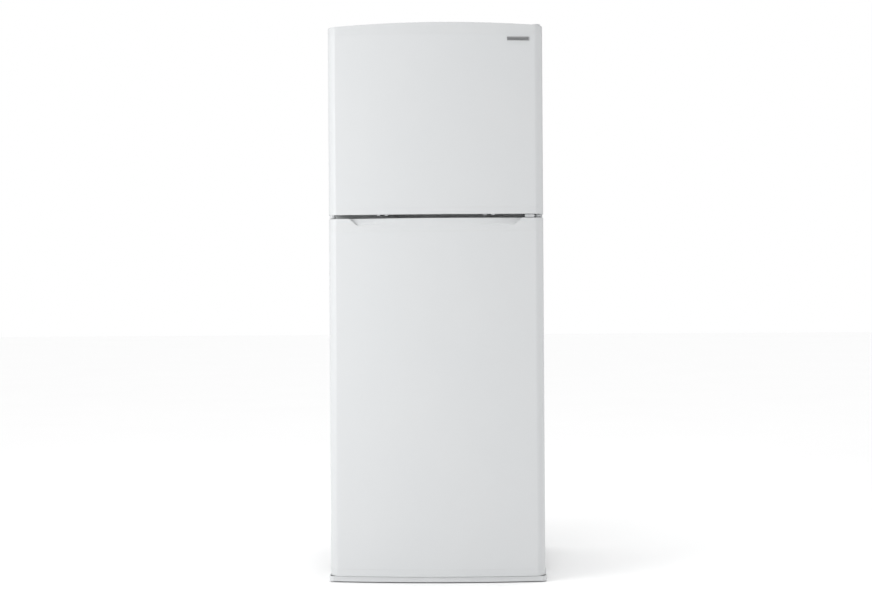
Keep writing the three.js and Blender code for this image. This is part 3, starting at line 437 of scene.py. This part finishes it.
def black_coat():
    """Semi-gloss black paint with runs of dust on it."""
    f = Finish("black_coat", IOR=1.5)
    dust = f.ramp(f.noise(22, 5.0, 0.6), 0.45, 0.75)
    f.set("Base Color", f.mix(dust, rgb(0.012, 0.012, 0.014), rgb(0.05, 0.048, 0.045)))
    f.set("Roughness", 0.33 + dust * 0.3)
    return f.bump(f.noise(2.5, 2.0), 0.03).material


def rubber(name, low, high, rough=0.62):
    """Dull rubber with a bloom on it."""
    f = Finish(name, IOR=1.45)
    bloom = f.noise(16, 4.0, 0.6)
    f.set("Base Color", f.mix(bloom, rgb(*low), rgb(*high)))
    f.set("Roughness", rough + bloom * 0.15)
    return f.bump(f.noise(0.9, 2.0), 0.02).material


def rigid_foam():
    """Cream foam, as seen along the edges of the doors."""
    f = Finish("rigid_foam")
    f.set("Base Color", f.mix(f.noise(12, 4.0), rgb(0.79, 0.76, 0.66), rgb(0.84, 0.82, 0.75)))
    f.set("Roughness", 0.85 + f.noise(3, 2.0) * 0.1)
    return f.bump(f.cells(2.0), 0.4).material


def plate_metal():
    """Dark brushed metal of the name plate."""
    f = Finish("plate_metal", Metallic=0.85)
    lines = f.noise(3, 3.0, 0.6, (0.02, 1, 1))
    f.set("Base Color", f.mix(lines, rgb(0.3, 0.305, 0.315), rgb(0.42, 0.425, 0.43)))
    f.set("Roughness", 0.3 + lines * 0.2)
    return f.bump(lines, 0.01).material


def pale_floor():
    f = Finish("pale_floor")
    f.set("Base Color", f.mix(f.noise(900, 2.0), rgb(0.93, 0.93, 0.93), rgb(0.95, 0.95, 0.95)))
    f.set("Roughness", 0.7 + f.noise(300, 2.0) * 0.05)
    return f.material


ENAMEL = enamel()
CAP = moulding(
    "white_cap_moulding", (0.66, 0.676, 0.686), (0.684, 0.694, 0.70), 0.36, 0.7, 0.012
)
WHITE = moulding("white_moulding", (0.79, 0.80, 0.80), (0.83, 0.835, 0.83))
GREY = moulding("grey_moulding", (0.20, 0.21, 0.22), (0.26, 0.27, 0.28), 0.5)
LINER = formed_sheet()
CLEAR = clear_moulding("clear_moulding", (0.985, 0.99, 0.992))
BLUE = clear_moulding("blue_clear_moulding", (0.75, 0.87, 0.95), 0.1)
PANE = shelf_pane()
ZINC = zinc()
FINS = bare_metal("drawn_aluminium", (0.62, 0.63, 0.64), (0.8, 0.81, 0.82), (1, 1, 0.05))
BLACK = black_coat()
SEAL = rubber("seal_rubber", (0.56, 0.57, 0.57), (0.64, 0.65, 0.645))
TYRE = rubber("roller_rubber", (0.012, 0.012, 0.012), (0.03, 0.03, 0.03), 0.55)
FOAM = rigid_foam()
PLATE = plate_metal()


# ---------------------------------------------------------------- camera, light and floor
def look(place, target):
    return (Vector(target) - Vector(place)).to_track_quat("-Z", "Y").to_euler()


def camera():
    place = (0.11, -4.52, 0.788)
    data = bpy.data.cameras.new("camera")
    data.lens = 62.42
    data.sensor_width = 36.0
    data.clip_end = 60.0
    eye = bpy.data.objects.new("camera", data)
    bpy.context.scene.collection.objects.link(eye)
    eye.location = place
    turn = look(place, (0.0, -0.32, 0.788))
    turn.y += math.radians(0.36)
    eye.rotation_euler = turn
    bpy.context.scene.camera = eye


def soft_light(name, place, target, width, height, power):
    data = bpy.data.lights.new(name, "AREA")
    data.shape = "RECTANGLE"
    data.size, data.size_y, data.energy = width, height, power
    lamp = bpy.data.objects.new(name, data)
    bpy.context.scene.collection.objects.link(lamp)
    lamp.location = place
    lamp.rotation_euler = look(place, target)


def studio():
    world = bpy.data.worlds.new("studio")
    bpy.context.scene.world = world
    world.use_nodes = True
    nodes, links = world.node_tree.nodes, world.node_tree.links
    background = nodes["Background"]
    seen = nodes.new("ShaderNodeLightPath")
    direct = nodes.new("ShaderNodeMath")
    direct.operation = "MAXIMUM"
    links.new(seen.outputs["Is Camera Ray"], direct.inputs[0])
    links.new(seen.outputs["Is Transmission Ray"], direct.inputs[1])
    strength = nodes.new("ShaderNodeMix")
    strength.inputs[2].default_value = 0.3
    strength.inputs[3].default_value = 1.0
    links.new(direct.outputs[0], strength.inputs["Factor"])
    links.new(strength.outputs[0], background.inputs["Strength"])
    background.inputs["Color"].default_value = (1.0, 1.0, 1.0, 1.0)
    soft_light("left_window", (-2.3, -2.0, 1.5), (0, -0.3, 0.9), 1.6, 1.6, 38)
    soft_light("right_fill", (3.2, -0.5, 1.3), (0, -0.3, 0.9), 1.6, 1.6, 9)
    sky = bpy.data.lights.new("ceiling", "SUN")
    sky.energy = 2.5
    sky.angle = math.radians(70)
    lamp = bpy.data.objects.new("ceiling", sky)
    bpy.context.scene.collection.objects.link(lamp)
    lamp.location = (0, 0, 4)
    deselect_all()
    bpy.ops.mesh.primitive_plane_add(size=60, location=(0, 0, 0))
    floor = bpy.context.object
    floor.name = "floor"
    floor.data.materials.append(pale_floor())
    bpy.context.scene.view_settings.view_transform = "Standard"


camera()
studio()


# ---------------------------------------------------------------- pieces that keep their CAD shape
def kept(node, body, finish, slot, edge=0.4, angle=30, segments=2, shade=35):
    """A piece with the shape of its CAD node, given broken edges and even shading."""
    piece = from_frame(node, node + "_finished", edge > 0)
    if edge:
        soften(piece, edge, segments, angle)
    smooth(piece, shade)
    true_normals(piece)
    return mount(piece, body, finish, slot, node)


def kept_pieces():
    for body in ("freezer_door", "fridge_door"):
        kept(body + "_skin", body, ENAMEL, "white_paint", 0.3, 12, 2, 14)
        kept(body + "_foam", body, FOAM, "foam", 0)
    kept("outer_wrap", "cabinet", ENAMEL, "white_paint", 0.4)
    kept("center_rail", "cabinet", ENAMEL, "white_paint", 0.5)
    kept("cabinet_foam", "cabinet", FOAM, "foam", 0)
    kept("kick_cover", "cabinet", CAP, "white_plastic", 0.8, 20, 3, 25)
    kept("back_panel", "cabinet", ZINC, "galvanized", 0.35)
    kept("bottom_plate", "cabinet", ZINC, "galvanized", 0)
    kept("machine_room_cover", "cabinet", ZINC, "galvanized", 0)
    for node in ("top_hinge", "middle_hinge", "bottom_hinge"):
        kept(node, "cabinet", ENAMEL, "white_paint", 0.6)
    for node in ("ice_tray_frame", "control_housing", "shelf_frame_1", "shelf_frame_2"):
        kept(node, "cabinet", WHITE, "white_plastic", 1.0, 30, 3)
    kept("freezer_shelf", "cabinet", WHITE, "white_plastic", 0)
    for node in ("evaporator_cover", "air_duct"):
        kept(node, "cabinet", LINER, "liner_plastic", 0)
    for node in ("shelf_glass_1", "shelf_glass_2"):
        kept(node, "cabinet", PANE, "glass", 0.8)
    kept("crisper_lid", "cabinet", PANE, "glass", 0.8)
    kept("evaporator", "cabinet", FINS, "aluminium", 0)
    kept("fan_motor", "cabinet", GREY, "grey_plastic", 0.8, 40)
    kept("compressor", "cabinet", BLACK, "black_paint", 1.5, 40, 3, 45)
    kept("condenser_coil", "cabinet", BLACK, "black_paint", 0, shade=60)
    kept("fan_blade", "fan", WHITE, "white_plastic", 0.3, 40)
    kept("freezer_door_switch", "freezer_switch", GREY, "grey_plastic", 0.8, 40, 3)
    kept("fridge_door_switch", "fridge_switch", GREY, "grey_plastic", 0.8, 40, 3)
    for side in ("left", "right"):
        kept("front_foot_" + side, side + "_foot", GREY, "grey_plastic", 0.6, 40)
        kept("rear_roller_" + side, side + "_roller", TYRE, "black_rubber", 1.0, 40, 3)


# ---------------------------------------------------------------- doors, outside
def door_caps():
    """End caps of both doors, with rolled outer edges and tight seams to the steel."""
    crown = from_frame("freezer_door_top_cap", "freezer_cap_arched")
    with editing(crown, "EDGE"):
        pick(crown, "edges", lambda e: middle(e).z > CROWN_FOOT and middle(e).y < DOOR_SHOULDER
             and e.calc_face_angle(0) > math.radians(40))
        roll(2.4, 4)
    soften(crown, 0.3, 1, 10)
    smooth(crown, 14)
    mount(crown, "freezer_door", CAP, "white_plastic", "freezer_door_top_cap")

    lip = from_frame("freezer_door_bottom_cap", "freezer_cap_finger_groove")
    with editing(lip, "EDGE"):
        pick(lip, "edges", lambda e: abs(middle(e).z - FREEZER_DOOR_FOOT) < 0.3
             and middle(e).y < LIP_FRONT and e.calc_face_angle(0) > math.radians(60))
        roll(0.9, 3)
    soften(lip, 0.3, 1, 10)
    smooth(lip, 14)
    mount(lip, "freezer_door", CAP, "white_plastic", "freezer_door_bottom_cap")

    grip = from_frame("fridge_door_top_cap", "fridge_cap_grip")
    soften(grip, 1.3, 3, 9)
    smooth(grip, 20)
    mount(grip, "fridge_door", CAP, "white_plastic", "fridge_door_top_cap")

    foot = from_frame("fridge_door_bottom_cap", "fridge_cap_lower")
    soften(foot, 0.5, 2, 10)
    smooth(foot, 14)
    mount(foot, "fridge_door", CAP, "white_plastic", "fridge_door_bottom_cap")


def name_plate():
    """A blank plate: a raised rim round a sunk field."""
    plate = from_frame("badge_plate", "plate_rimmed")
    with editing(plate):
        pick(plate, "faces", lambda f: f.normal.y < -0.9)
        bpy.ops.mesh.inset(thickness=1.1 * MM, depth=0)
        bpy.ops.mesh.inset(thickness=0.5 * MM, depth=-0.6 * MM)
    soften(plate, 0.25, 2, 25)
    mount(smooth(plate, 20), "freezer_door", PLATE, "badge_metal", "badge_plate")


# ---------------------------------------------------------------- liners and gaskets
def formed_liners():
    """Cabinet liners with the rounded inside corners of drawn sheet."""
    openings = (("freezer_liner", 240, 1055, 1490), ("fridge_liner", 248, 85, 991))
    for node, half, low, top in openings:
        liner = from_frame(node, node + "_formed")

        def inside_corner(edge):
            spot = middle(edge)
            planes = [abs(abs(spot.x) - half) < 0.1, abs(spot.z - low) < 0.1,
                      abs(spot.z - top) < 0.1, abs(spot.y - LINER_BACK) < 0.1]
            return sum(planes) > 1 and spot.y > LINER_FRONT and edge.calc_length() > 40 * MM

        with editing(liner, "EDGE"):
            pick(liner, "edges", inside_corner)
            roll(11, 5)
        soften(liner, 0.6, 2, 40)
        smooth(liner, 30)
        true_normals(liner)
        mount(liner, "cabinet", LINER, "liner_plastic", node)


def door_liners():
    """Door liners whose raised rim is drawn with soft edges."""
    for body in ("freezer_door", "fridge_door"):
        liner = from_frame(body + "_liner", body + "_liner_formed")

        def rim(edge):
            spot = middle(edge)
            return (abs(spot.y - DOOR_RIM) < 0.5 and edge.calc_length() > 60 * MM
                    and edge.calc_face_angle(0) > 1.0)

        with editing(liner, "EDGE"):
            pick(liner, "edges", rim)
            roll(5, 4)
        soften(liner, 0.6, 2, 40)
        smooth(liner, 30)
        true_normals(liner)
        mount(liner, body, LINER, "liner_plastic", body + "_liner")


def bellows_gaskets():
    """Magnetic gaskets: the magnet pocket, and the folded bellows along both of its flanks."""
    for body in ("freezer_door", "fridge_door"):
        seal = from_frame(body + "_gasket", body + "_gasket_folded")
        with editing(seal):
            pick(seal, "faces", lambda f: abs(f.normal.y) < 0.1)
            bpy.ops.mesh.inset(thickness=2.2 * MM, depth=0, use_individual=True)
            bpy.ops.mesh.inset(thickness=1.2 * MM, depth=-2.5 * MM, use_individual=True)
        soften(seal, 0.7, 2, 30)
        smooth(seal, 40)
        mount(seal, body, SEAL, "gasket_rubber", body + "_gasket")


# ---------------------------------------------------------------- bins, drawers and trays
def tub(name, x, y, z, wall=2.2, corner=8, lip=3, lean=0, edit=None):
    """An open moulded tub: rounded corners, an even wall and a rolled rim."""
    low, high = z[0], z[1] - wall
    inset = lip + wall
    piece = block(name, (x[0] + inset, x[1] - inset), (y[0] + inset, y[1] - inset), (low, high))
    with editing(piece):
        if lean:
            mid = (y[0] + y[1]) / 2
            pick(piece, "verts", lambda v: v.co.y > mid * MM and v.co.z < (low + 1) * MM)
            slide(y=-lean)
        if edit:
            edit(piece)
        pick(piece, "faces",
             lambda f: facing(f, 2, 1) and f.calc_center_median().z > (high - 1) * MM)
        bpy.ops.mesh.delete(type="FACE")
        pick(piece, "edges", lambda e: not e.is_boundary)
        roll(corner, 4)
        pick(piece, "edges", lambda e: e.is_boundary)
        centre = ((x[0] + x[1]) / 2, (y[0] + y[1]) / 2, high)
        grow = [1 + 2 * lip / (span[1] - span[0] - 2 * inset) for span in (x, y)]
        pull_out()
        resize((grow[0], grow[1], 1), centre)
        pull_out(z=-lip - 1.5)
    thicken(piece, wall)
    soften(piece, 0.6, 2, 30)
    return smooth(piece, 35)


def door_bins():
    """Door bins: a clear tub, a hook on each end wall and a strip along the front."""
    bins = (
        ("freezer_door_bin_upper", "freezer_bin_upper", 204, -165, (1288, 1350)),
        ("freezer_door_bin_lower", "freezer_bin_lower", 204, -165, (1092, 1162)),
        ("dairy_bin", "dairy_box", 212, -163, (780, 842)),
        ("fridge_door_bin_middle", "middle_bin", 212, -150, (560, 638)),
        ("fridge_door_bin_bottle", "bottle_bin", 212, -150, (125, 243)),
    )
    for node, body, half, front, (low, high) in bins:
        base = tub(node + "_tub", (-half, half), (BIN_BACK, front), (low, high), 2.4, 9, 2.5, 6)
        hook = block("hook", (half - 6.5, half + 4), (-241, -211), (low + 32, low + 40))
        soften(hook, 1.2, 2)
        strip = block("strip", (-half + 30, half - 30), (front - 6.2, front - 2.8),
                      (high - 22, high - 7))
        with editing(strip):
            pick(strip, "faces", lambda f: facing(f, 1, 1))
            bpy.ops.mesh.inset(thickness=1.5 * MM, depth=-0.8 * MM)
        soften(strip, 0.5, 2)
        parts = [base, hook, mirrored(hook, "hook_left"), strip]
        if node == "dairy_bin":
            for sign in (-1, 1):
                ear = block("ear", sorted((sign * 209.5, sign * 211.9)), (-246, -226),
                            (838, 864))
                with editing(ear, "EDGE"):
                    pick(ear, "edges", lambda e: along(e, 0) and middle(e).z > 850)
                    roll(8, 5)
                cut(ear, rod("lid_bore", 3.5, (sign * 210.7, -236, 856), 8, "x", 24))
                soften(ear, 0.25, 2)
                parts.append(ear)
        mount(smooth(join(node + "_moulded", *parts)), body, CLEAR, "clear_plastic", node)


def drawers():
    """The crisper with its sloping rear and the chiller tray, each with a pull, the ice drawer and
    the drain pan.
    """

    def slope(piece):
        pick(piece, "verts", lambda v: v.co.y > 0 and v.co.z < 100 * MM)
        slide(y=-32)

    crisper = tub("crisper_tub", (-235, 235), (-110, 78), (85.3, 273.3), 3, 12, 4, 0, slope)
    pull = block("crisper_pull", (-90, 90), (-109.8, -99), (236, 262))
    with editing(pull):
        pick(pull, "faces", lambda f: facing(f, 1, -1))
        bpy.ops.mesh.inset(thickness=5 * MM)
        pull_out(y=7)
    soften(pull, 1.5, 3)
    mount(smooth(join("crisper_moulded", crisper, pull)), "crisper", CLEAR, "clear_plastic",
          "crisper_drawer")

    chiller = tub("chiller_tub", (-244, 244), (-112, 226), (690, 774), 3, 10, 4)
    pull = block("chiller_pull", (-80, 80), (-111.8, -102), (740, 762))
    with editing(pull):
        pick(pull, "faces", lambda f: facing(f, 1, -1))
        bpy.ops.mesh.inset(thickness=4 * MM)
        pull_out(y=6)
    soften(pull, 1.5, 3)
    mount(smooth(join("chiller_moulded", chiller, pull)), "chiller", CLEAR, "clear_plastic",
          "chiller_drawer")

    ice = tub("ice_tub", (-230, -36), (-112, 124), (1270.3, 1362), 2.6, 9, 3)
    mount(ice, "ice_drawer", CLEAR, "clear_plastic", "ice_bin")

    pan = tub("drain_tub", (-272, -40), (152, 290), (31.5, 76), 2.2, 10, 3)
    mount(pan, "cabinet", GREY, "grey_plastic", "drain_pan")


def ice_trays():
    """Twist trays: two rows of cups in a sheet with a turned-down rim, and a knob."""
    trays = (("ice_tray_left", "left_ice_tray", -184), ("ice_tray_right", "right_ice_tray", -82))
    for node, body, x in trays:
        deselect_all()
        bpy.ops.mesh.primitive_grid_add(
            x_subdivisions=2, y_subdivisions=7, size=1,
            location=(x * MM, 15 * MM, 1432 * MM),
        )
        tray = settle(node + "_pressed")
        with editing(tray, "EDGE"):
            bpy.ops.mesh.select_all(action="SELECT")
            resize((74 * MM, 214 * MM, 1), (x, 15, 1432))
            pick(tray, "edges", lambda e: e.is_boundary)
            pull_out()
            resize((76 / 74, 218 / 214, 1), (x, 15, 1432))
            pull_out(z=-6)
            pick(tray, "faces", lambda f: facing(f, 2, 1) and f.calc_area() > 400 * MM**2)
            bpy.ops.mesh.inset(thickness=1.8 * MM, use_individual=True)
            bpy.ops.mesh.inset(thickness=3.5 * MM, depth=-24 * MM, use_individual=True)
            pick(tray, "edges", lambda e: e.calc_face_angle(0) > 0.6
                 and 1404 < middle(e).z < 1431.5 and abs(middle(e).x - x) < 36.5)
            roll(2.5, 2)
        thicken(tray, 1.5)
        soften(tray, 0.4, 2, 35)
        knob = rod("tray_knob", 15.8, (x, -116, 1428), 15.6, "y", 40)
        with editing(knob):
            pick(knob, "faces", lambda f: facing(f, 1, -1))
            bpy.ops.mesh.inset(thickness=2.5 * MM, depth=-3 * MM)
        soften(knob, 0.8, 2, 40)
        wing = block("tray_wing", (x - 2.2, x + 2.2), (-123.8, -115), (1415, 1441))
        soften(wing, 1.2, 3)
        axle = rod("tray_axle", 4, (x, 129, 1428), 11, "y", 24)
        mount(smooth(join(node + "_moulded", tray, knob, wing, axle)), body, BLUE,
              "blue_clear_plastic", node)


# ---------------------------------------------------------------- controls and small fittings
def turned_copies(piece, name, centre, angles):
    """Copies of a piece, each turned about an axis along Y; the piece itself is used up."""
    made = []
    for number, angle in enumerate(angles):
        twin = copy_of(piece, "%s_%d" % (name, number))
        with editing(twin):
            bpy.ops.mesh.select_all(action="SELECT")
            bpy.ops.transform.rotate(value=math.radians(angle), orient_axis="Y",
                                     center_override=[v * MM for v in centre])
        made.append(twin)
    bpy.data.objects.remove(piece)
    return made


def controls():
    """Thermostat knob with finger ridges and a pointer, and the ring of dial marks round it."""
    centre = (KNOB_X, HOUSING_FRONT, KNOB_Z)
    knob = rod("thermostat_body", 15.8, (KNOB_X, -191.8, KNOB_Z), 12, "y", 48, 13.2)
    with editing(knob):
        pick(knob, "faces", lambda f: facing(f, 1, -1))
        bpy.ops.mesh.inset(thickness=2 * MM, depth=-1.2 * MM)
    soften(knob, 0.6, 2, 30)
    shaft = rod("thermostat_shaft", 3.4, (KNOB_X, -178, KNOB_Z), 17.6, "y", 20)
    ridge = block("ridge", (61.2, 62.8), (-197.5, -186.2), (980, 982.6))
    soften(ridge, 0.5, 2)
    ribs = turned_copies(ridge, "rib", centre, range(0, 360, 20))
    pointer = block("pointer", (61, 63), (-198, -196.4), (968, 978.5))
    soften(pointer, 0.4, 2)
    mount(smooth(join("thermostat_ridged", knob, shaft, pointer, *ribs)), "thermostat", GREY,
          "grey_plastic", "thermostat_knob")

    mark = block("mark", (60.9, 63.1), (-185.6, -184.7), (984.4, 988.6))
    soften(mark, 0.25, 2)
    marks = turned_copies(mark, "mark", centre, range(-120, 121, 40))
    mount(smooth(join("dial_marks", *marks)), "cabinet", GREY, "grey_plastic")


def hinge_cover():
    """The top hinge's cover: a moulded cap open below, closed in front beside the hinge leaf."""
    shell = block("hinge_cover_shell", (246, 299), (-236, -132), (1548, 1560.5))
    with editing(shell):
        pick(shell, "verts", lambda v: v.co.y > -140 * MM and v.co.z > 1555 * MM)
        slide(y=-8, z=-1.5)
        pick(shell, "faces", lambda f: facing(f, 2, -1) or facing(f, 1, -1))
        bpy.ops.mesh.delete(type="FACE")
        pick(shell, "edges", lambda e: not e.is_boundary)
        roll(2.5, 3)
    thicken(shell, 1.4)
    soften(shell, 0.3, 2, 40)
    lip = block("cover_lip", (247.2, 261.4), (-235.8, -234.2), (1548.2, 1559.6))
    soften(lip, 0.3, 2)
    mount(smooth(join("hinge_cover_moulded", shell, lip)), "cabinet", CAP, "white_plastic",
          "top_hinge_cover")


def dairy_cover():
    """The dairy compartment's clear lid."""
    kept("dairy_lid", "dairy_cover", CLEAR, "clear_plastic", 0.8, 30, 3)


def rear_screws():
    """Pan head screws round the rear covers."""
    deselect_all()
    seat = BACK_PANEL + 0.2
    bpy.ops.mesh.primitive_uv_sphere_add(segments=20, ring_count=10, radius=3.6 * MM,
                                         location=(0, seat * MM, 0))
    screw = settle("screw")
    with editing(screw):
        bpy.ops.mesh.select_all(action="SELECT")
        bpy.ops.mesh.bisect(plane_co=(0, seat * MM, 0), plane_no=(0, 1, 0), clear_inner=True,
                            use_fill=True)
        bpy.ops.mesh.select_all(action="SELECT")
        resize((1, 0.55, 1), (0, seat, 0))
    for name, turn in (("slot_a", (0, 0, 0)), ("slot_b", (0, math.pi / 2, 0))):
        deselect_all()
        bpy.ops.mesh.primitive_cube_add(size=1, location=(0, 0.3142, 0), rotation=turn,
                                        scale=(0.0042, 0.0018, 0.0007))
        cut(screw, settle(name))
    smooth(screw, 40)
    spots = [(x, z) for x in (-292, 292) for z in (300, 620, 940, 1260, 1530)]
    spots += [(x, 1540) for x in (-150, 0, 150)]
    heads = [copy_of(screw, "screw_%d" % n, x, 0, z) for n, (x, z) in enumerate(spots)]
    bpy.data.objects.remove(screw)
    mount(join("panel_screws", *heads), "cabinet", ZINC, "galvanized")


kept_pieces()
door_caps()
name_plate()
formed_liners()
door_liners()
bellows_gaskets()
door_bins()
drawers()
ice_trays()
controls()
hinge_cover()
dairy_cover()
rear_screws()
